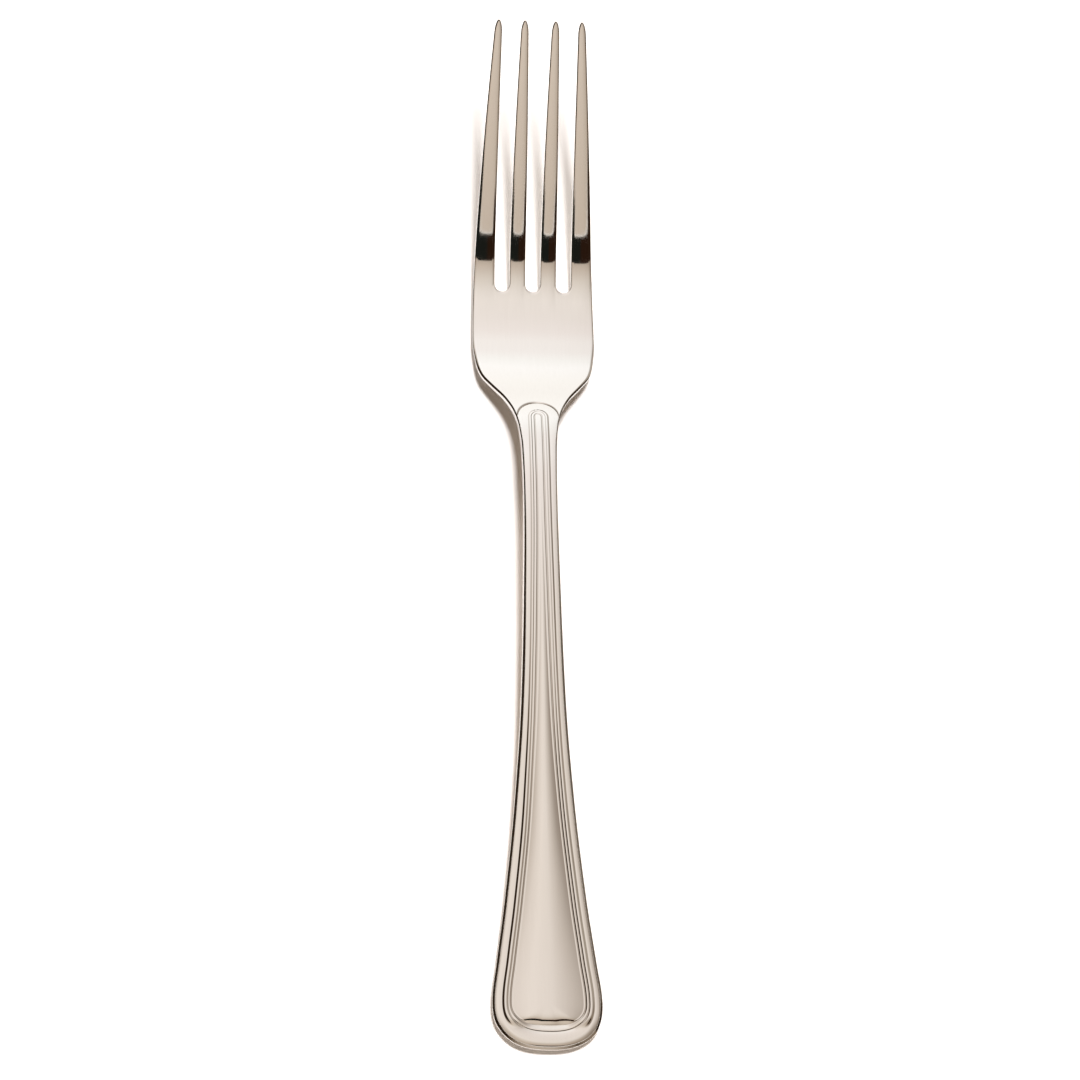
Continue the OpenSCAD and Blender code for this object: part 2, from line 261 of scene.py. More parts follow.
outer_left, outer_right = tine_sides(True)
inner_left, inner_right = tine_sides(False)
stretches = {
    "cap": np.stack([CAP_HALF * cap_out, CAP_LENGTH * (1 - cap_back)], 1),
    "handle": np.stack([half_width(handle_s), handle_s], 1),
    "head": np.stack([half_width(head_s), head_s], 1),
    "outer right": outer_right,
    "outer left": outer_left[::-1],
    "slot": slot_end(TINE_PITCH, 0, -180, SLOT_STEPS),
    "inner right": inner_right,
    "inner left": inner_left[::-1],
    "middle slot": slot_end(0, 0, -90, SLOT_STEPS // 2),
}
part, contour, count = {}, [], 0
for name, points in stretches.items():
    keep = points if count == 0 else points[1:]
    contour.append(keep)
    start = max(count - 1, 0)
    count += len(keep)
    part[name] = slice(start, count)
contour = np.concatenate(contour)
contour[0, 0] = contour[-1, 0] = 0

ghost_start, ghost_end = contour[1] * (-1, 1), contour[-2] * (-1, 1)
along = np.concatenate([[ghost_start], contour, [ghost_end]])
tangent = along[2:] - along[:-2]
tangent /= np.linalg.norm(tangent, axis=1, keepdims=True)
outward = np.stack([tangent[:, 1], -tangent[:, 0]], 1)
print("contour of half the fork:", len(contour), "points")

# %% [markdown]
# ## How soft the edges are
# The edge leads from the face to the wall, as a quarter of an oval or as a chamfer. It is wide and shallow
# on the palm, where the wheel can reach from all sides, and small on the tines. Along the handle, whose
# border is struck by a die, it is a narrow chamfer. Width, height and form are tables along the fork, so
# the edge changes slowly from one to the other.

# %% Edge softness
EDGE_WIDTH = ((0, 0.46), (60, 0.5), (75, 0.5), (100, 0.38), (112, 0.26), (126, 0.25), (133, 0.36),
              (138, 0.4), (144, 0.5), (150, 0.42), (158, 0.13), (170, 0.13), (180, 0.2), (LENGTH, 0.2))
EDGE_HEIGHT = ((0, 0.355), (60, 0.385), (75, 0.385), (100, 0.29), (112, 0.2), (126, 0.19), (133, 0.27),
               (138, 0.26), (144, 0.14), (150, 0.12), (158, 0.1), (170, 0.1), (180, 0.155), (LENGTH, 0.155))
# How full the edge is: 1 is a quarter of an oval, 2 is a straight chamfer
EDGE_FORM = ((0, 2.0), (130, 2.0), (138, 1.8), (146, 1.0), (150, 1.0), (158, 1.6), (LENGTH, 1.6))
# The same for the edges along the slots
SLOT_EDGE_WIDTH = ((140, 0.13), (170, 0.13), (180, 0.2), (LENGTH, 0.2))
SLOT_EDGE_HEIGHT = ((140, 0.1), (170, 0.1), (180, 0.155), (LENGTH, 0.155))
SLOT_EDGE_FORM = 1.5
# The lower corner's round: inset and height
UNDER_INSET = ((0, 0.8), (40, 0.8), (95, 0.45), (125, 0.6), (134, 0.8), (142, 0.9), (155, 0.85), (165, 0.5),
               (LENGTH, 0.42))
UNDER_RISE = ((0, 1.3), (40, 1.4), (95, 0.6), (125, 1.2), (134, 1.5), (142, 1.4), (155, 1.2), (165, 0.6),
              (LENGTH, 0.5))
# How much higher the middle is than the sides, on the palm and on a tine, and where the palm's crown lies
HEAD_CROWN = 0.1
TINE_CROWN = 0.032
CROWN_START = ARCH_AT + ARCH_RISE
CROWN_END = LENGTH - 45
CROWN_FADE_IN = 13
CROWN_FADE_OUT = 12

slot_share = np.zeros(len(contour))
slot_share[part["outer left"].start + TINE_STEPS // 2:] = 1
contour_s = contour[:, 1]
edge_width = mix(straight(EDGE_WIDTH, contour_s), straight(SLOT_EDGE_WIDTH, contour_s), slot_share)
edge_height = mix(straight(EDGE_HEIGHT, contour_s), straight(SLOT_EDGE_HEIGHT, contour_s), slot_share)
edge_form = mix(straight(EDGE_FORM, contour_s), SLOT_EDGE_FORM, slot_share)


def crown(x, s):
    """Fall of the face towards its sides: the square of the distance from the middle, on the palm only."""
    share = smooth((s - CROWN_START) / CROWN_FADE_IN) * smooth((CROWN_END - s) / CROWN_FADE_OUT)
    return -HEAD_CROWN * share * (x / HEAD_HALF) ** 2


def face_top(plan):
    """Height of the plain face at points of the plan: the upper edge's height plus the crown's."""
    return top(plan[..., 1]) + crown(plan[..., 0], plan[..., 1])


face_edge = contour - outward * edge_width[:, None]
under_inset = straight(UNDER_INSET, contour_s)
under_rise = straight(UNDER_RISE, contour_s)
under_edge = contour - outward * under_inset[:, None]
for line in (face_edge, under_edge):
    line[0, 0] = line[-1, 0] = 0
print(f"edges: {edge_width.min():.2f} to {edge_width.max():.2f} mm wide")

# %% [markdown]
# ## The mesh
# Each part of the skin is a grid of points worked out as an array: rows along the fork and columns across
# it. Neighbouring grids share the very same points on their common line, so they can be welded afterwards
# by rounding the points and keeping each place once. The left half is the right half with x turned round.

# %% Grids
patches = []


def add_patch(grid, flip=False):
    """Keeps a grid of points (rows, columns, 3) with its four-cornered faces; flip turns them over."""
    rows, columns = grid.shape[:2]
    number = np.arange(rows * columns).reshape(rows, columns)
    corners = [number[:-1, :-1], number[:-1, 1:], number[1:, 1:], number[1:, :-1]]
    faces = np.stack(corners, -1).reshape(-1, 4)
    patches.append((grid.reshape(-1, 3), faces[:, ::-1] if flip else faces))


def lift(plan, height):
    """Puts points of the plan (x, distance from the handle end) at a height."""
    return np.concatenate([plan, height[..., None]], -1)


def between(start, end, shares):
    """Points on the straight way from start to end, one column for each share."""
    shares = np.asarray(shares)[None, :, None]
    return start[:, None] * (1 - shares) + end[:, None] * shares


# %% [markdown]
# ## The handle's relief
# A die strikes the border, a step, two thin threads, a groove and the panel into the handle's upper side.
# The lines follow the edge inside a frame, turn round the handle end, and close on the neck in a set of
# arches. So the relief is a profile across, carried along rows that turn about a centre at both ends. The
# profile has one table of heights for the neck, one along the handle and one for the handle end, and runs
# from one to the next.

# %% Relief sizes
# Width of the frame at the handle end and on the neck, and the shares of it where the border ends in its
# low corner and where the panel begins
FRAME_END = 3.15
FRAME_NECK = 2.7
LOW_CORNER = 0.535
PANEL_EDGE = 1.2
# Power by which the arches on the neck get lower towards the innermost one
ARCH_POWER = 0.78
# How steep the panel's sides get: distance, rise over run
PANEL_SLOPE = ((CAP_LENGTH, 0.105), (31, 0.155), (50, 0.2), (85, 0.2), (NARROWEST_AT, 0.18))
# Powers by which the panel rounds down at its end and by which its foot sinks there
END_POWER = 10
FOOT_POWER = 3
# Border: share of the way from the soft edge to the low corner, then its height on the neck, along the
# handle and at the handle end
BORDER = ((0, 0, 0, 0), (0.11, 0.006, 0.026, 0.031), (0.24, 0.012, 0.048, 0.07),
          (0.375, 0.017, 0.06, 0.105), (0.5, 0.021, 0.068, 0.131), (0.63, 0.024, 0.074, 0.146),
          (0.76, 0.026, 0.077, 0.151), (1, 0.026, 0.077, 0.143))
# Step, first thread, its fall to the second thread, that thread, its fall to the groove, and the panel's
# rim: share of the frame, then the height above the low corner on the neck and along the handle
THREADS = ((LOW_CORNER, 0, 0), (0.545, 0.005, 0.008), (0.66, 0.06, 0.235), (0.675, 0.064, 0.248),
           (0.72, 0.066, 0.255), (0.79, 0.065, 0.25), (0.81, 0.062, 0.238), (0.872, 0.022, 0.13),
           (0.882, 0.021, 0.128), (0.9, 0.024, 0.148), (0.92, 0.025, 0.157), (0.96, 0.025, 0.158),
           (0.99, 0.023, 0.152), (1.005, 0.018, 0.14), (1.065, -0.02, 0.032), (1.075, -0.022, 0.028),
           (1.105, 0.008, 0.062), (1.12, 0.015, 0.069), (1.16, 0.019, 0.072), (PANEL_EDGE, 0.018, 0.068))
# At the handle end the step fades out, and one fine groove and a slope down to the panel's foot are left
END_THREADS = ((LOW_CORNER, 0), (0.66, -0.024), (0.72, -0.045), (0.81, -0.09), (0.872, -0.14),
               (0.882, -0.143), (0.92, -0.092), (0.93, -0.09), (0.96, -0.104), (0.99, -0.13),
               (1.005, -0.148), (1.065, -0.22), (1.075, -0.23), (1.12, -0.27), (PANEL_EDGE, -0.3))
# Where those shares lie: as a share of the frame on the neck, and in millimetres from the handle end
NECK_PLACES = ((0, 0), (LOW_CORNER, 0.45), (0.665, 0.56), (0.81, 0.66), (0.882, 0.73), (1.005, 0.87),
               (1.065, 0.93), (PANEL_EDGE, 1.16))
END_PLACES = ((0, 0), (LOW_CORNER, 1.9), (0.877, 3.38), (1.07, 4.55), (PANEL_EDGE, 4.72))
# Columns over the border, columns over half the panel, and the power that crowds those at the panel's edge
BORDER_STEPS = 21
PANEL_STEPS = 20
PANEL_CROWDING = 1.4
# How soon the relief of the handle takes over from that of the neck as the fork widens
NECK_LEAVING = 2.2
# Round the cap, the angle from its side where the end's heights begin to take over, for the border and the
# low corner and for the panel's edge, and the angle that this takes
TURN_FROM = 8
TURN_PANEL_FROM = 46
TURN_OVER = 34

# %% Relief plan
border_steps = np.linspace(0, 1, BORDER_STEPS + 1)
thread_places = np.array(THREADS)[:, 0]
thread_steps = np.unique(np.concatenate([mix(thread_places[:-1], thread_places[1:], share)
                                         for share in (0, 1 / 3, 2 / 3, 1)]).round(6))[1:]
panel_steps = 1 - np.linspace(0, 1, PANEL_STEPS + 1)[1:] ** PANEL_CROWDING

# Rows of the relief: turning about the cap's middle, straight, and turning about the arch's foot line
arch_angle = np.radians(np.linspace(0, 90, ARCH_STEPS + 1)[1:])
row_s = np.concatenate([np.full(CAP_STEPS, CAP_LENGTH), handle_s, np.full(ARCH_STEPS, ARCH_AT)])
frame_half = np.where(row_s < NARROWEST_AT, half_width(row_s), NECK_HALF)
end_share = np.clip((frame_half - NECK_HALF) / (CAP_HALF - NECK_HALF), 0, 1)
frame_width = mix(FRAME_NECK, FRAME_END, end_share)
handle_share = smooth(end_share * NECK_LEAVING)


def relief_line(share):
    """Line at a share of the frame from the edge. At the cap it is an oval, and on the neck a flat arch."""
    half = frame_half - mix(straight(NECK_PLACES, share), share, handle_share) * frame_width
    back = CAP_LENGTH - straight(END_PLACES, share)
    x, s = half.copy(), row_s.copy()
    x[:CAP_STEPS] = half[:CAP_STEPS] * cap_out[:-1]
    s[:CAP_STEPS] = CAP_LENGTH - back * cap_back[:-1]
    reach = ARCH_RISE * (half[-1] / half_width(ARCH_AT)) ** ARCH_POWER
    x[-ARCH_STEPS:] = half[-1] * np.cos(arch_angle)
    s[-ARCH_STEPS:] = ARCH_AT + reach * np.sin(arch_angle)
    return np.stack([x, s], 1)


arch_foot = face_edge[part["handle"]][-1]
arch_edge = np.stack([arch_foot[0] * np.cos(arch_angle), arch_foot[1] + ARCH_RISE * np.sin(arch_angle)], 1)
relief_edge = np.concatenate([face_edge[:part["handle"].stop], arch_edge])
axis_points = np.stack([0 * row_s, row_s], 1)
relief_plan = np.concatenate([
    between(relief_edge, relief_line(LOW_CORNER), border_steps),
    np.stack([relief_line(share) for share in thread_steps], 1),
    between(axis_points, relief_line(PANEL_EDGE), panel_steps),
], 1)
relief_plan[0, :, 0] = relief_plan[-1, :, 0] = 0

print("relief:", len(row_s), "rows and", relief_plan.shape[1], "columns")


# %% [markdown]
# ### Heights of the relief
# The panel swells like a shallow barrel: its height falls with the square of the way to its side. At the
# handle end it rounds down steeply to a foot that lies lower than along the sides. On the neck the threads
# and grooves are shallower, because they are narrower there.

# %% Relief heights
def column(table, number):
    """The table's first column with one of the others, as a table of its own."""
    return np.array(table)[:, [0, number]]


turned = np.zeros((len(row_s), 1))
turned[:CAP_STEPS, 0] = smooth((cap_angle[:-1] - TURN_FROM) / TURN_OVER)
turn_from = np.interp(thread_steps, (LOW_CORNER, PANEL_EDGE), (TURN_FROM, TURN_PANEL_FROM))
threads_turned = np.zeros((len(row_s), len(thread_steps)))
threads_turned[:CAP_STEPS] = smooth((cap_angle[:-1, None] - turn_from) / TURN_OVER)

side_border = mix(curve(column(BORDER, 1), border_steps), curve(column(BORDER, 2), border_steps),
                  smooth(end_share)[:, None])
border_height = mix(side_border, curve(column(BORDER, 3), border_steps), turned)
side_threads = mix(curve(column(THREADS, 1), thread_steps), curve(column(THREADS, 2), thread_steps),
                   handle_share[:, None])
end_threads = curve(END_THREADS, thread_steps)
thread_height = border_height[:, -1:] + mix(side_threads, end_threads, threads_turned)

panel_half = frame_half - PANEL_EDGE * frame_width
swell = curve(PANEL_SLOPE, row_s) * panel_half / 2
panel_out = panel_steps * np.concatenate([cap_out[:-1], np.ones(len(row_s) - CAP_STEPS)])[:, None]
panel_back = panel_steps * np.concatenate([cap_back[:-1], np.zeros(len(row_s) - CAP_STEPS)])[:, None]
panel_side = (1 - panel_back ** (2 / CAP_POWER)).clip(1e-9) ** (CAP_POWER / 2)
barrel = (1 - (panel_out / panel_side).clip(0, 1) ** 2) * (1 - panel_back ** END_POWER)
side_foot = side_border[:, -1:] + side_threads[:, -1:]
sunk = (thread_height[:, -1:] - side_foot) * panel_steps ** FOOT_POWER
panel_height = side_foot + sunk + swell[:, None] * barrel
relief_height = np.concatenate([border_height, thread_height, panel_height], 1)
add_patch(lift(relief_plan, top(relief_plan[..., 1]) + relief_height))
print(f"relief: {relief_height.min():.2f} to {relief_height.max():.2f} mm above the plain handle")


# %% [markdown]
# ## Palm and tines
# The palm's rows start as the arch on the neck and end as the line that runs along the tines' roots and
# round the slots' ends, changing smoothly from one to the other. Each tine is then a plain grid between its
# two sides. The underside has the same rows and columns, but no relief.

# %% Palm
across_shares = np.linspace(0, 1, ACROSS + 1)


def root_line(edge):
    """From the middle of the centre slot's end along the tines' roots and round the slot's end."""
    inner_root = between(edge[part["inner left"]][-1:], edge[part["inner right"]][:1], across_shares)
    outer_root = between(edge[part["outer left"]][-1:], edge[part["outer right"]][:1], across_shares)
    return np.concatenate([edge[part["middle slot"]][::-1], inner_root[0, 1:],
                           edge[part["slot"]][::-1][1:], outer_root[0, 1:]])


root_row = root_line(face_edge)
tine_bump = 1 - np.linspace(-1, 1, ACROSS + 1) ** 2
root_bump = np.zeros(len(root_row))
first_inner = SLOT_STEPS // 2
first_outer = first_inner + ACROSS + SLOT_STEPS
root_bump[first_inner:first_inner + ACROSS + 1] = tine_bump
root_bump[first_outer:first_outer + ACROSS + 1] = tine_bump


def head_grid(edge, start_row, end_row):
    """Rows from start_row to end_row, each fitted to the edge point at its side."""
    share = smooth(np.linspace(0, 1, HEAD_STEPS + 1))[:, None]
    across = mix(start_row[:, 0] / start_row[-1, 0], end_row[:, 0] / end_row[-1, 0], share)
    onward = mix(start_row[:, 1] - start_row[-1, 1], end_row[:, 1] - end_row[-1, 1], share)
    return np.stack([across * edge[:, :1], edge[:, 1:] + onward], -1)


arch_row = np.concatenate([arch_edge[::-1], arch_foot[None]])
head_plan = head_grid(face_edge[part["head"]], arch_row, root_row)
last_quarter = smooth((np.linspace(0, 1, HEAD_STEPS + 1) - 0.75) * 4)[:, None]
add_patch(lift(head_plan, face_top(head_plan) + TINE_CROWN * last_quarter * root_bump))

# %% Tines
for left, right in (("inner left", "inner right"), ("outer left", "outer right")):
    plan = between(face_edge[part[left]][::-1], face_edge[part[right]], across_shares)
    add_patch(lift(plan, face_top(plan) + TINE_CROWN * tip_round[:, None] * tine_bump))
    plan = between(under_edge[part[left]][::-1], under_edge[part[right]], across_shares)
    add_patch(lift(plan, underside(plan[..., 1])), flip=True)

# %% Underside of handle and head
under_columns = np.sin(np.radians(np.linspace(0, 90, ARCH_STEPS + 1)))
under_axis = np.stack([0 * row_s, row_s], 1)[:-ARCH_STEPS]
plan = between(under_axis, under_edge[:part["handle"].stop], under_columns)
plan[0, :, 0] = 0
add_patch(lift(plan, underside(plan[..., 1])), flip=True)
plan = head_grid(under_edge[part["head"]], plan[-1], root_line(under_edge))
add_patch(lift(plan, underside(plan[..., 1])), flip=True)

# %% Edge: soft upper corner, wall, and round lower corner
UPPER_STEPS = 7
LOWER_STEPS = 6
WALL_SHARES = (0.25, 0.5, 0.75)

face_height = face_top(face_edge)
lower = underside(under_edge[:, 1])
wall_top = face_height - edge_height
rings = []
for turn in np.radians(np.linspace(0, 90, UPPER_STEPS + 1)):
    inset = edge_width * (1 - np.sin(turn) ** edge_form)
    fall = edge_height * (1 - np.cos(turn).clip(0) ** edge_form)
    rings.append(lift(contour - outward * inset[:, None], face_height - fall))
for share in WALL_SHARES:
    rings.append(lift(contour, mix(wall_top, lower + under_rise, share)))
for turn in np.radians(np.linspace(0, 90, LOWER_STEPS + 1)):
    inset = under_inset * (1 - np.cos(turn))
    rings.append(lift(contour - outward * inset[:, None], lower + under_rise * (1 - np.sin(turn))))
edge_grid = np.stack(rings, 1)
edge_grid[0, :, 0] = edge_grid[-1, :, 0] = 0
add_patch(edge_grid)


# %% [markdown]
# ### One closed skin
# The die struck the handle a little off its middle, so once both halves are joined, the points inside the
# handle's edges are moved slightly to the right.

# %% Weld the patches and mirror them
# How far the relief lies to the right, how much stays in place along the edge, and the way to the full move
RELIEF_SHIFT = 0.13
SHIFT_MARGIN = 0.45
SHIFT_FADE = 1.2
# The same at the handle end, and where the move has faded out along the handle
SHIFT_FROM = 0.6
SHIFT_FROM_FADE = 1.6
SHIFT_TO = 60
SHIFT_TO_FADE = 25


def weld(points, faces, digits=5):
    """Keeps each place once, found by its rounded coordinates, and numbers the faces' corners anew."""
    rounded = np.round(points, digits) + 0.0
    first, number = np.unique(rounded, axis=0, return_index=True, return_inverse=True)[1:]
    return points[first], number.reshape(-1)[faces]


half_points = np.concatenate([points for points, faces in patches])
starts = np.cumsum([0] + [len(points) for points, faces in patches[:-1]])
half_faces = np.concatenate([faces + start for (points, faces), start in zip(patches, starts)])
mirrored = half_points * (-1, 1, 1)
points, faces = weld(np.concatenate([half_points, mirrored]),
                     np.concatenate([half_faces, half_faces[:, ::-1] + len(half_points)]))

shift_share = smooth((half_width(points[:, 1]) - SHIFT_MARGIN - np.abs(points[:, 0])) / SHIFT_FADE)
shift_share *= (smooth((SHIFT_TO - points[:, 1]) / SHIFT_TO_FADE)
                * smooth((points[:, 1] - SHIFT_FROM) / SHIFT_FROM_FADE))
points[:, 0] += RELIEF_SHIFT * shift_share
points[:, 1] -= LENGTH / 2
# Corners that have met are dropped from their face, and faces without an area too
rows = [[corner for i, corner in enumerate(face) if corner != face[i - 1]] for face in faces.tolist()]
rows = [row for row in rows if len(row) > 2]

mesh = bpy.data.meshes.new("fork_polished")
mesh.from_pydata((points * MM).tolist(), [], rows)
mesh.update()
polished = bpy.data.objects.new("fork_polished", mesh)
bpy.context.collection.objects.link(polished)
mesh.shade_smooth()
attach(polished, "root")
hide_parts("fork")
print("fork_polished:", len(points), "points,", len(rows), "faces")


# %% [markdown]
# ## Polished steel
# Steel is a metal, so nearly all of its look is reflection: its base colour is only the tint of what it
# mirrors. Stainless steel is slightly warm. On the handle the tint is darker and a little warmer, which is
# painted shade standing for the darker reflections there. Real polish is never perfect, so fine lines along
# the fork and soft patches vary the roughness and the tint a little, and a very low bump bends the
# reflections as hand polishing does.

# %% Steel
def node(tree, kind, place, **settings):
    """A new shader node with its settings and socket values."""
    made = tree.nodes.new(kind)
    made.location = place
    for name, value in settings.items():
        if name in made.inputs:
            made.inputs[name].default_value = value
        else:
            setattr(made, name, value)
    return made


# Tint at the low and at the high end of the noise, and the noise there
STEEL_DARKER = (0.872, 0.85, 0.828)
STEEL_LIGHTER = (0.89, 0.87, 0.85)
TINT_NOISE = (0.35, 0.65)
# Painted shade on the handle: what the tint is multiplied by there, darkening its reflections, and where
# this fades, in metres from the fork's middle
HANDLE_PAINTED_SHADE = (0.935, 0.915, 0.89)
HANDLE_PAINTED_SHADE_FADE = (-0.045, 0.02)
# Roughness, and the noise at its two ends
ROUGHNESS = (0.03, 0.06)
ROUGH_NOISE = (0.3, 0.7)
# Cells of the noise per metre: those of the lines across the fork and along it, and those of the patches
LINES_ACROSS = 2200
LINES_ALONG = 90
PATCHES = 60.0
PATCH_SHARE = 0.45


def map_range(tree, place, before, after=(0, 1), **settings):
    """A node that turns the range of numbers before into the range after."""
    made = node(tree, "ShaderNodeMapRange", place, **settings)
    for name, value in zip(("From Min", "From Max", "To Min", "To Max"), (*before, *after)):
        made.inputs[name].default_value = value
    return made


def steel_material():
    """Principled metal. Noise stretched along the fork drives roughness, tint and a faint bump. Painted
    shade on the handle.
    """
    material = bpy.data.materials.new("polished_steel")
    material.use_nodes = True
    tree = material.node_tree
    shader = tree.nodes["Principled BSDF"]
    shader.inputs["Metallic"].default_value = 1.0
    where = node(tree, "ShaderNodeTexCoord", (-1400, 0))
    stretched = node(tree, "ShaderNodeMapping", (-1200, 0), Scale=(LINES_ACROSS, LINES_ALONG, LINES_ACROSS))
    lines = node(tree, "ShaderNodeTexNoise", (-1000, 100), Scale=1.0, Detail=4.0, Roughness=0.6)
    soft = node(tree, "ShaderNodeTexNoise", (-1000, -200), Scale=PATCHES, Detail=3.0, Roughness=0.5)
    tree.links.new(where.outputs["Object"], stretched.inputs["Vector"])
    tree.links.new(stretched.outputs["Vector"], lines.inputs["Vector"])
    tree.links.new(where.outputs["Object"], soft.inputs["Vector"])
    both = node(tree, "ShaderNodeMix", (-780, 0), data_type="FLOAT", factor_mode="UNIFORM")
    both.inputs[0].default_value = PATCH_SHARE
    tree.links.new(lines.outputs["Fac"], both.inputs[2])
    tree.links.new(soft.outputs["Fac"], both.inputs[3])
    rough = map_range(tree, (-560, -100), ROUGH_NOISE, ROUGHNESS)
    tree.links.new(both.outputs[0], rough.inputs["Value"])
    tree.links.new(rough.outputs["Result"], shader.inputs["Roughness"])
    tint = node(tree, "ShaderNodeValToRGB", (-560, 250))
    colours = (STEEL_DARKER, STEEL_LIGHTER)
    for element, position, colour in zip(tint.color_ramp.elements, TINT_NOISE, colours):
        element.position = position
        element.color = (*colour, 1)
    tree.links.new(both.outputs[0], tint.inputs["Fac"])
    split = node(tree, "ShaderNodeSeparateXYZ", (-1000, 400))
    tree.links.new(where.outputs["Object"], split.inputs["Vector"])
    # Painted shade: the tint is multiplied by a darker, warmer colour on the handle, fading out towards the
    # neck
    onward = map_range(tree, (-780, 400), HANDLE_PAINTED_SHADE_FADE, interpolation_type="SMOOTHSTEP")
    tree.links.new(split.outputs["Y"], onward.inputs["Value"])
    painted_shade_mix = node(tree, "ShaderNodeMix", (-560, 500), data_type="RGBA")
    painted_shade_mix.inputs[6].default_value = (*HANDLE_PAINTED_SHADE, 1)
    painted_shade_mix.inputs[7].default_value = (1, 1, 1, 1)
    tree.links.new(onward.outputs["Result"], painted_shade_mix.inputs[0])
    tinted = node(tree, "ShaderNodeMix", (-300, 350), data_type="RGBA", blend_type="MULTIPLY")
    tinted.inputs[0].default_value = 1.0
    tree.links.new(tint.outputs["Color"], tinted.inputs[6])
    tree.links.new(painted_shade_mix.outputs[2], tinted.inputs[7])
    tree.links.new(tinted.outputs[2], shader.inputs["Base Color"])
    bump = node(tree, "ShaderNodeBump", (-340, -350), Strength=0.006, Distance=0.0001)
    tree.links.new(lines.outputs["Fac"], bump.inputs["Height"])
    tree.links.new(bump.outputs["Normal"], shader.inputs["Normal"])
    return material


steel = steel_material()
mesh.materials.append(steel)
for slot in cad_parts["fork"].material_slots:
    slot.material = steel
print("steel: roughness", ROUGHNESS[0], "to", ROUGHNESS[1])

# %% [markdown]
# ## The camera
# The fork was photographed with a long lens from above the handle's side, a little from its left. The
# camera aims at a point near the middle of the fork, 1.2 m away, and leans by about one degree. Its three
# axes are worked out one after the other, each square to the last by a cross product, and then turned by
# the lean.

# %% Camera
AIM = np.array([0.32, 0.4, 3.0])
TOWARDS_HANDLE = np.radians(22.0)
TOWARDS_LEFT = np.radians(7.39)
LEAN = np.radians(-1.24)
DISTANCE = 1200.0
LENS_MM = 206.0
SENSOR_MM = 36.0

back = np.array([-np.tan(TOWARDS_LEFT), -np.tan(TOWARDS_HANDLE), 1.0])
back /= np.linalg.norm(back)
right = np.cross((0, 1, 0), back)
right /= np.linalg.norm(right)
up = np.cross(back, right)
right_leaning = np.cos(LEAN) * right + np.sin(LEAN) * up
up_leaning = -np.sin(LEAN) * right + np.cos(LEAN) * up
camera_data = bpy.data.cameras.new("camera")
camera_data.lens = LENS_MM
camera_data.sensor_width = SENSOR_MM
camera_data.clip_start = 0.05
camera = bpy.data.objects.new("camera", camera_data)
bpy.context.collection.objects.link(camera)
orientation = Matrix((Vector(right_leaning), Vector(up_leaning), Vector(back))).transposed().to_4x4()
camera.matrix_world = Matrix.Translation(Vector((AIM + DISTANCE * back) * MM)) @ orientation
bpy.context.scene.camera = camera
print(f"camera: {LENS_MM:.0f} mm lens, {DISTANCE * MM:.1f} m from the fork")

# %% [markdown]
# ## The light tent
# Cutlery is photographed in a tent of pale cloth, because polished metal shows whatever stands round it.
# The tent here is a dome that glows: brightest behind the tines, pale overhead, browner towards the
# photographer and dark far out at both sides. A long dark gap crosses it where the photographer stands,
# black on the left and brown on the right, with a bright rim. That gap draws the dark band across the roots
# of the tines and the dark lines along the handle. The camera doesn't see the dome itself, so the
# background stays white.

# %% Tent
# Radius of the dome in metres
DOME_RADIUS = 4.0
# The gap, in degrees towards the handle end: its lower and upper limit and the width of its rim
GAP_LOW = 8.8
GAP_HIGH = 20.4
GAP_RIM = 0.32
# In degrees towards the right: its middle, where it turns brown, and half its length and its rim's
GAP_MIDDLE = 6.4
GAP_BROWN = 7.0
GAP_HALF = 55.0
RIM_HALF = 5.0
# Its limits rise away from the middle, by these factors and by these degrees at most
GAP_BEND = 600.0
GAP_LOW_BEND = 300.0
MOST_BEND = 1.3
MOST_LOW_BEND = 0.6
GAP_BLACK = (0.010, 0.011, 0.009)
GAP_SIDE = (0.022, 0.0095, 0.005)
RIM_COLOUR = (0.92, 0.86, 0.79)
# Angle from straight up towards the handle end (minus: towards the tines), and the colour seen there
ALONG = ((-90, (0.05, 0.04, 0.03)), (-80, (0.30, 0.26, 0.23)), (-71, (1.05, 1.02, 0.98)),
         (-60, (1.09, 1.07, 1.03)), (-51, (1.11, 1.10, 1.08)), (-45, (1.05, 1.04, 1.01)),
         (-38, (1.00, 0.96, 0.93)), (-31, (0.99, 0.945, 0.91)), (-26, (0.94, 0.875, 0.835)),
         (-19, (0.905, 0.84, 0.79)), (-9, (0.895, 0.83, 0.77)), (-5, (0.85, 0.785, 0.72)),
         (0, (0.76, 0.69, 0.61)), (6, (0.61, 0.52, 0.435)), (8.5, (0.54, 0.455, 0.375)),
         (20.4, (0.59, 0.495, 0.405)), (23, (0.65, 0.555, 0.46)), (28, (0.73, 0.64, 0.55)),
         (45, (0.70, 0.61, 0.52)), (62, (0.50, 0.43, 0.36)), (72, (0.25, 0.20, 0.16)),
         (90, (0.04, 0.03, 0.02)))
# Angle off the fork's middle plane towards the right (minus: left), and the colour left there
ACROSS_TENT = ((-90, (0.02, 0.015, 0.01)), (-42, (0.04, 0.027, 0.018)), (-33, (0.18, 0.145, 0.11)),
               (-24, (0.46, 0.42, 0.38)), (-13, (0.74, 0.71, 0.68)), (-5, (0.97, 0.96, 0.95)),
               (1, (1.06, 1.06, 1.06)), (8, (1.0, 1.0, 1.0)), (15, (0.76, 0.74, 0.72)),
               (23, (0.47, 0.44, 0.41)), (27, (0.40, 0.365, 0.33)), (31, (0.20, 0.175, 0.145)),
               (36, (0.38, 0.34, 0.30)), (42, (0.44, 0.40, 0.36)), (66, (0.38, 0.34, 0.29)),
               (73, (0.05, 0.035, 0.025)), (90, (0.02, 0.015, 0.01)))


def ramp(tree, stops, place, first=-90, last=90):
    """Colour ramp of (number, colour). A number's place is its share of the way from first to last."""
    made = tree.nodes.new("ShaderNodeValToRGB")
    made.location = place
    elements = made.color_ramp.elements
    while len(elements) < len(stops):
        elements.new(0.5)
    for element, (stop, colour) in zip(elements, stops):
        element.position = (stop - first) / (last - first)
        element.color = (*colour, 1)
    return made


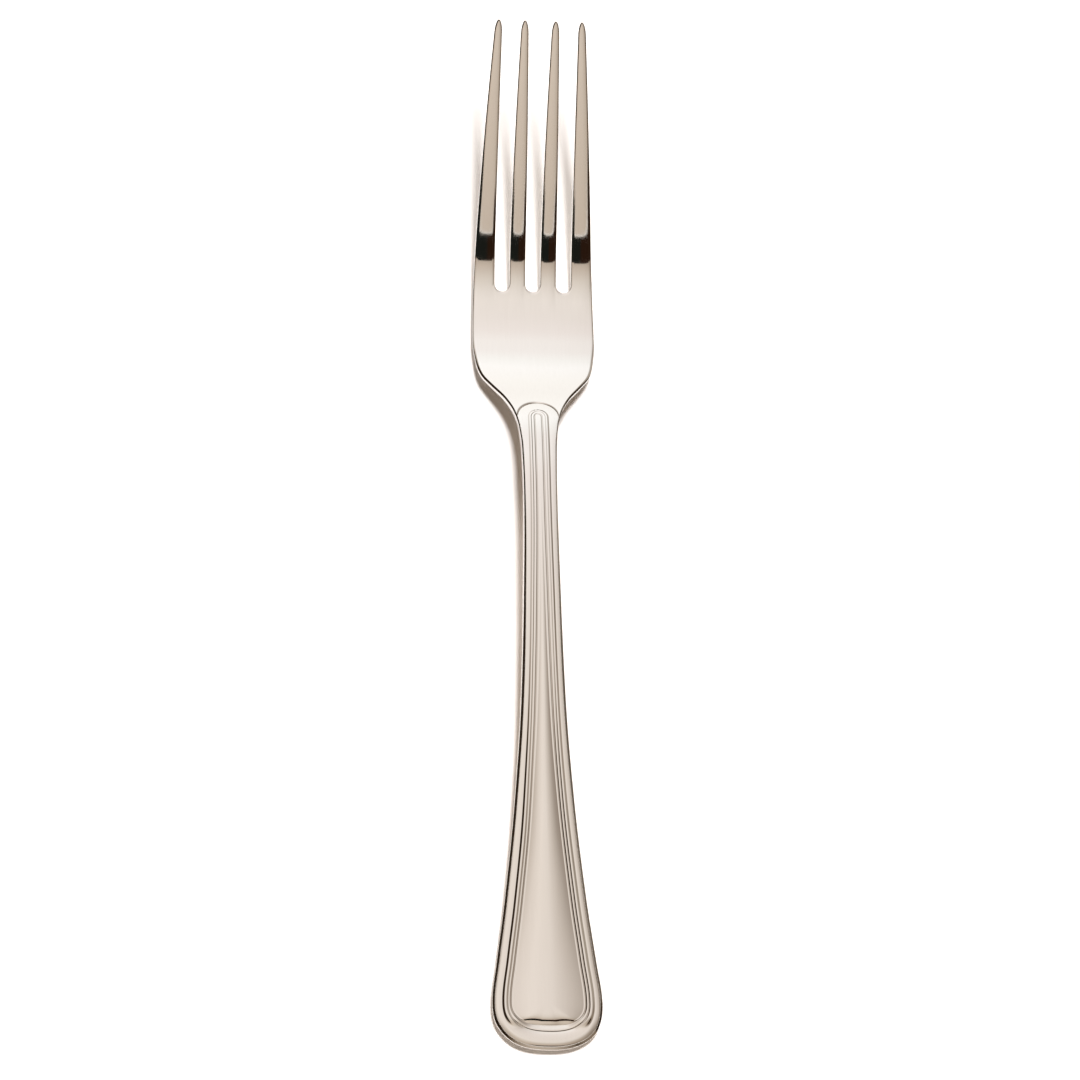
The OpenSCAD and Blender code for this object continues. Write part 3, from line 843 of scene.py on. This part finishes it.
def tent_material():
    """Glow by direction: a ramp along the fork times a ramp across it, with the dark gap and its rim."""
    material = bpy.data.materials.new("tent_cloth")
    material.use_nodes = True
    tree = material.node_tree
    tree.nodes.clear()

    def math(operation, first, second=None, third=None):
        """Result of a math node whose inputs are numbers or other nodes' results."""
        made = node(tree, "ShaderNodeMath", (0, 0), operation=operation)
        for socket, value in zip(made.inputs, (first, second, third)):
            if isinstance(value, bpy.types.NodeSocket):
                tree.links.new(value, socket)
            elif value is not None:
                socket.default_value = value
        return made.outputs[0]

    where = tree.nodes.new("ShaderNodeTexCoord")
    unit = node(tree, "ShaderNodeVectorMath", (-1200, 0), operation="NORMALIZE")
    split = node(tree, "ShaderNodeSeparateXYZ", (-1000, 0))
    tree.links.new(where.outputs["Object"], unit.inputs[0])
    tree.links.new(unit.outputs["Vector"], split.inputs["Vector"])
    towards_handle = math("ARCTAN2", math("MULTIPLY", split.outputs["Y"], -1.0), split.outputs["Z"])
    towards_right = math("ARCSINE", split.outputs["X"])
    along = ramp(tree, ALONG, (-280, 200))
    across = ramp(tree, ACROSS_TENT, (-280, -100))
    # On its ramp, an angle of -90 to 90 degrees is a place of 0 to 1
    for angle, colours in ((towards_handle, along), (towards_right, across)):
        tree.links.new(math("MULTIPLY_ADD", angle, 1 / np.pi, 0.5), colours.inputs["Fac"])
    both = node(tree, "ShaderNodeMix", (0, 100), data_type="RGBA", blend_type="MULTIPLY")
    both.inputs[0].default_value = 1.0
    tree.links.new(along.outputs["Color"], both.inputs[6])
    tree.links.new(across.outputs["Color"], both.inputs[7])

    # The gap's limits rise with the fourth power of the angle from its middle, up to a limit
    degree = float(np.radians(1))
    aside = math("SUBTRACT", towards_right, GAP_MIDDLE * degree)
    fourth = math("POWER", math("ABSOLUTE", aside), 4.0)
    rise = math("MINIMUM", math("MULTIPLY", fourth, GAP_BEND), MOST_BEND * degree)
    low_rise = math("MINIMUM", math("MULTIPLY", fourth, GAP_LOW_BEND), MOST_LOW_BEND * degree)
    height = math("SUBTRACT", towards_handle, rise)
    above = math("GREATER_THAN", math("SUBTRACT", towards_handle, low_rise), GAP_LOW * degree)
    below = math("LESS_THAN", height, GAP_HIGH * degree)
    below_rim = math("LESS_THAN", height, (GAP_HIGH + GAP_RIM) * degree)
    within = math("LESS_THAN", math("ABSOLUTE", aside), GAP_HALF * degree)
    near = math("LESS_THAN", math("ABSOLUTE", aside), RIM_HALF * degree)
    rim = node(tree, "ShaderNodeMix", (100, 0), data_type="RGBA")
    rim.inputs[7].default_value = (*RIM_COLOUR, 1)
    tree.links.new(math("MULTIPLY", math("MULTIPLY", above, below_rim), near), rim.inputs[0])
    tree.links.new(both.outputs[2], rim.inputs[6])
    inner = node(tree, "ShaderNodeMix", (100, -200), data_type="RGBA")
    inner.inputs[6].default_value = (*GAP_BLACK, 1)
    inner.inputs[7].default_value = (*GAP_SIDE, 1)
    tree.links.new(math("GREATER_THAN", towards_right, GAP_BROWN * degree), inner.inputs[0])
    dark = node(tree, "ShaderNodeMix", (200, 0), data_type="RGBA")
    tree.links.new(inner.outputs[2], dark.inputs[7])
    tree.links.new(math("MULTIPLY", math("MULTIPLY", above, below), within), dark.inputs[0])
    tree.links.new(rim.outputs[2], dark.inputs[6])
    glow = node(tree, "ShaderNodeEmission", (400, 0))
    tree.links.new(dark.outputs[2], glow.inputs["Color"])
    out = node(tree, "ShaderNodeOutputMaterial", (600, 0))
    tree.links.new(glow.outputs[0], out.inputs["Surface"])
    return material


def dome_mesh(radius, rings=24, around=64):
    """Half a sphere round the fork. Height and distance of a ring are the sine and cosine of its angle."""
    rise = np.radians(np.linspace(0, 90, rings + 1))[:, None]
    turn = np.radians(np.linspace(0, 360, around + 1))[None, :]
    out = radius * np.cos(rise)
    grid = np.stack([out * np.cos(turn), out * np.sin(turn), radius * np.sin(rise) + 0 * turn], -1)
    number = np.arange(grid.shape[0] * grid.shape[1]).reshape(grid.shape[:2])
    quads = np.stack([number[:-1, :-1], number[1:, :-1], number[1:, 1:], number[:-1, 1:]], -1)
    made = bpy.data.meshes.new("tent")
    made.from_pydata(grid.reshape(-1, 3).tolist(), [], quads.reshape(-1, 4).tolist())
    return made


tent = bpy.data.objects.new("tent", dome_mesh(DOME_RADIUS))
tent.data.materials.append(tent_material())
bpy.context.collection.objects.link(tent)
tent.visible_camera = False
tent.visible_shadow = False
tent.visible_diffuse = False
print("tent:", len(ALONG), "colours along and", len(ACROSS_TENT), "across, radius", DOME_RADIUS, "m")

# %% [markdown]
# ## Table, white background and lamp
# The table is a matt white sheet. Rays that miss it meet a white world, which lights the sheet only dimly,
# so one broad lamp nearly overhead draws the fork's shadow. The sheet is slightly warm and the lamp
# slightly cool, so the sheet is white where it is lit and brown in the shadow. The camera and reflections
# also see the sheet glow, and that glow is painted light that lightens the fork's shadow: most under the
# tines, less under the handle and hardly at all under the shoulders.

# %% Table
# Half the sheet's side, and how far it lies below the fork so that the two don't cut each other, in metres
TABLE_HALF = 1.5
TABLE_DROP = 0.00002
SHEET_COLOUR = (0.90, 0.84, 0.77)
# Painted fill light, a glow that lightens the shadow: distance from the handle end in millimetres, colour
PAINTED_FILL_GLOW = ((0, (0.15, 0.14, 0.13)), (30, (0.23, 0.215, 0.2)), (60, (0.2, 0.185, 0.17)),
             (72, (0.17, 0.155, 0.14)), (88, (0.22, 0.2, 0.185)), (104, (0.2, 0.18, 0.165)),
             (114, (0.03, 0.025, 0.02)), (135, (0.02, 0.02, 0.02)), (152, (0.2, 0.2, 0.2)),
             (165, (0.34, 0.335, 0.33)), (LENGTH, (0.39, 0.385, 0.38)))


def sheet_material():
    """Matt white. Its glow, painted fill light, is a colour ramp along the fork, times one for camera and
    mirrored rays.
    """
    material = bpy.data.materials.new("white_sheet")
    material.use_nodes = True
    tree = material.node_tree
    sheet = tree.nodes["Principled BSDF"]
    sheet.inputs["Base Color"].default_value = (*SHEET_COLOUR, 1)
    sheet.inputs["Roughness"].default_value = 0.9
    sheet.inputs["Specular IOR Level"].default_value = 0.1
    path = node(tree, "ShaderNodeLightPath", (-700, -300))
    seen = node(tree, "ShaderNodeMath", (-500, -200), operation="MAXIMUM")
    seen_too = node(tree, "ShaderNodeMath", (-300, -200), operation="MAXIMUM")
    tree.links.new(path.outputs["Is Camera Ray"], seen.inputs[0])
    tree.links.new(path.outputs["Is Glossy Ray"], seen.inputs[1])
    tree.links.new(seen.outputs[0], seen_too.inputs[0])
    tree.links.new(path.outputs["Is Transmission Ray"], seen_too.inputs[1])
    where = node(tree, "ShaderNodeTexCoord", (-1300, -500))
    split = node(tree, "ShaderNodeSeparateXYZ", (-1100, -500))
    onward = map_range(tree, (-900, -500), (-LENGTH / 2 * MM, LENGTH / 2 * MM))
    # Painted light: the glow ramp along the fork fills the shadow, most under the tines
    painted_fill_ramp = ramp(tree, PAINTED_FILL_GLOW, (-700, -500), 0, LENGTH)
    tree.links.new(where.outputs["Object"], split.inputs["Vector"])
    tree.links.new(split.outputs["Y"], onward.inputs["Value"])
    tree.links.new(onward.outputs["Result"], painted_fill_ramp.inputs["Fac"])
    tree.links.new(painted_fill_ramp.outputs["Color"], sheet.inputs["Emission Color"])
    tree.links.new(seen_too.outputs[0], sheet.inputs["Emission Strength"])
    return material


table_mesh = bpy.data.meshes.new("table")
corners = [(-TABLE_HALF, -TABLE_HALF), (TABLE_HALF, -TABLE_HALF), (TABLE_HALF, TABLE_HALF),
           (-TABLE_HALF, TABLE_HALF)]
table_mesh.from_pydata([(x, y, -TABLE_DROP) for x, y in corners], [], [(0, 1, 2, 3)])
table_mesh.materials.append(sheet_material())
table = bpy.data.objects.new("table", table_mesh)
bpy.context.collection.objects.link(table)
print("table:", 2 * TABLE_HALF, "m square")

# %% World and lamp
# What the world lends the sheet, and the lamp: direction, strength, colour and width in degrees
SKY = (0.15, 0.108, 0.075)
LAMP_FROM = (0.08, 0.24, 1.0)
LAMP_STRENGTH = 3.5
LAMP_COLOUR = (1.0, 1.04, 1.12)
LAMP_WIDTH = 11

world = bpy.data.worlds.new("white")
bpy.context.scene.world = world
world.use_nodes = True
tree = world.node_tree
path = node(tree, "ShaderNodeLightPath", (-900, 0))
lit = node(tree, "ShaderNodeMix", (-300, 0), data_type="RGBA")
lit.inputs[6].default_value = (1, 1, 1, 1)
lit.inputs[7].default_value = (*SKY, 1)
tree.links.new(path.outputs["Is Diffuse Ray"], lit.inputs[0])
tree.links.new(lit.outputs[2], tree.nodes["Background"].inputs["Color"])

lamp_data = bpy.data.lights.new("key", "SUN")
lamp_data.energy = LAMP_STRENGTH
lamp_data.color = LAMP_COLOUR
lamp_data.angle = np.radians(LAMP_WIDTH)
lamp = bpy.data.objects.new("key", lamp_data)
lamp.rotation_euler = Vector(LAMP_FROM).to_track_quat("Z", "Y").to_euler()
lamp.visible_glossy = False
bpy.context.collection.objects.link(lamp)
print("lamp:", LAMP_STRENGTH, "strong and", LAMP_WIDTH, "degrees wide")

bpy.context.scene.view_settings.view_transform = "Standard"
